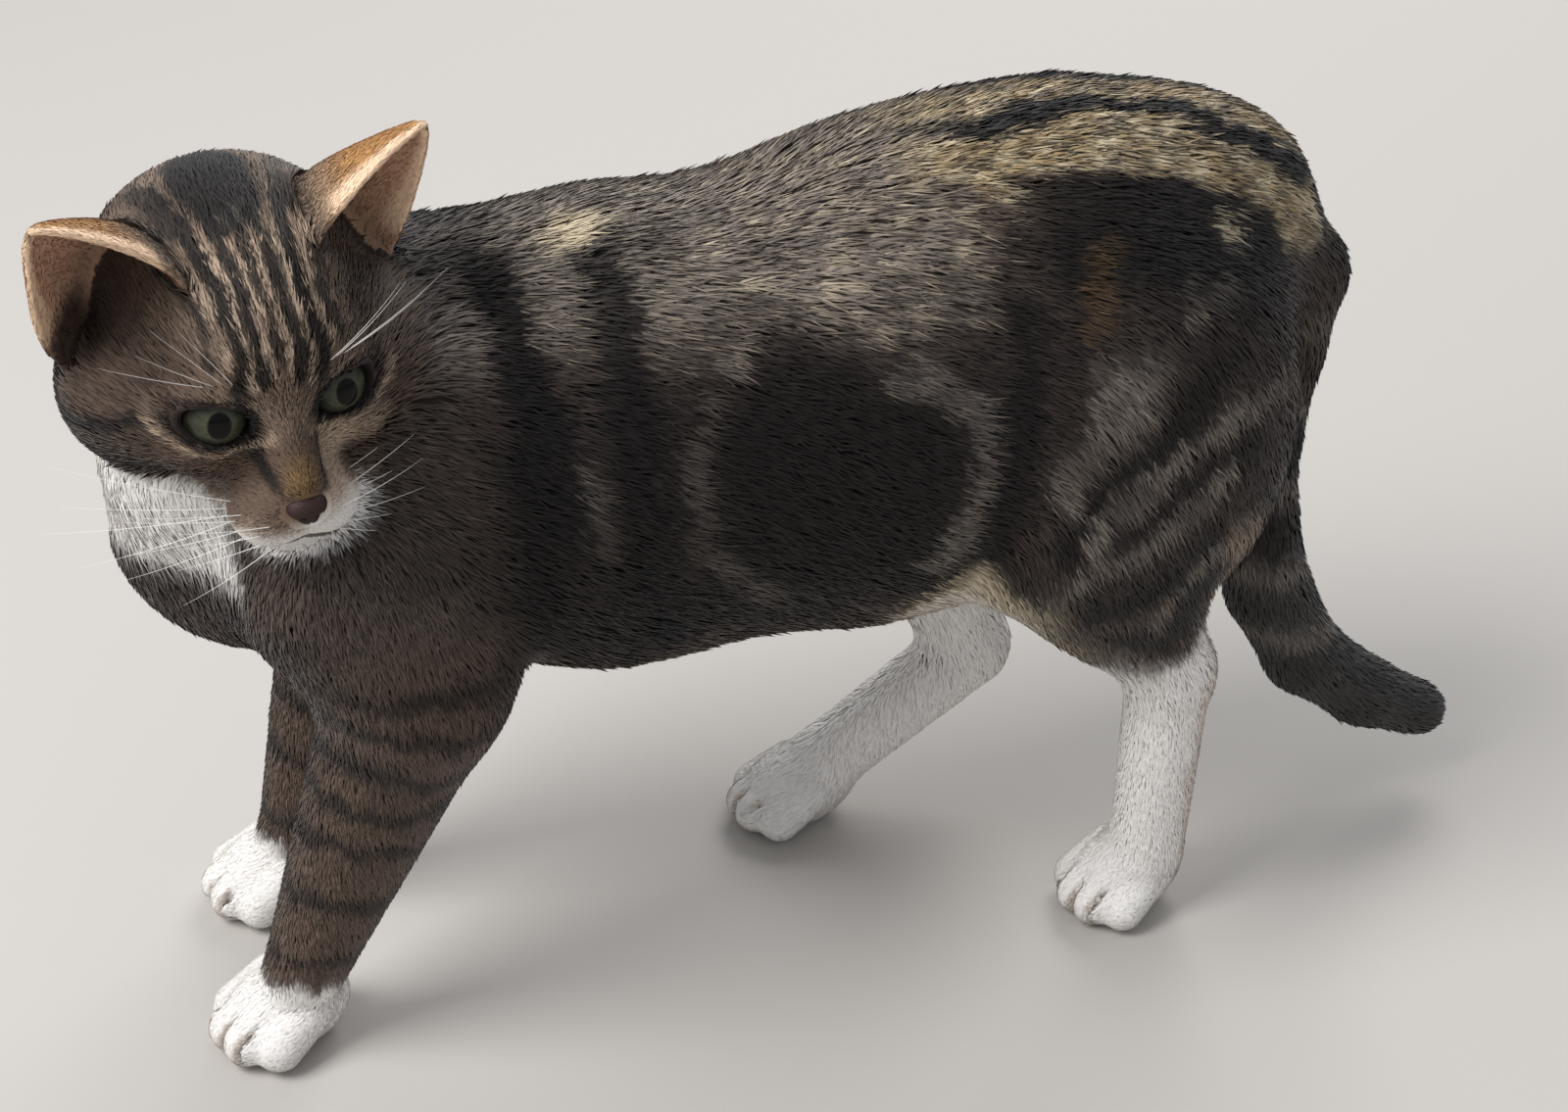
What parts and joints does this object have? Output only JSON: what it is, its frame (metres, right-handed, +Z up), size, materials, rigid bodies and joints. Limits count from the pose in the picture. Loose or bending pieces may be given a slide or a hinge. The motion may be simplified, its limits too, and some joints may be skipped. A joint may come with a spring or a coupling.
{
  "type": "cat",
  "caption": "Short-haired brown blotched tabby and white cat standing on all fours, head lowered and turned to its left, tail hanging, as a still life-size model.",
  "frame": {"origin": "on the floor, below the middle of the whole cat's bounding box", "axes": "+Z up, -Y toward the cat's front, +X toward its left side"},
  "size_m": [0.1464, 0.4511, 0.3071],
  "materials": {
    "tabby_coat": "short soft fur, brown blotched tabby",
    "white_coat": "short soft white fur",
    "dark_coat": "short dark fur of the tail's tip",
    "ear_skin": "thin furred ear, pale rim",
    "eye": "wet green-grey iris with a dark pupil",
    "nose_leather": "bare dark brown-red skin"
  },
  "bodies": {
    "root": {"head": "tabby_coat", "neck": "tabby_coat", "shoulder_left": "tabby_coat", "chest": "tabby_coat", "belly": "tabby_coat", "hips": "tabby_coat", "thigh_left": "tabby_coat", "thigh_right": "tabby_coat", "shank_left": "white_coat", "shank_right": "white_coat", "hindpaw_left": "white_coat", "hindpaw_right": "white_coat", "forearm_left": "tabby_coat", "forearm_right": "tabby_coat", "forepaw_left": "white_coat", "forepaw_right": "white_coat", "tail_upper": "tabby_coat", "tail_middle": "tabby_coat", "tail_tip": "dark_coat", "ear_left": "ear_skin", "ear_right": "ear_skin", "eye_left": "eye", "eye_right": "eye", "nose": "nose_leather"}
  },
  "joints": []
}
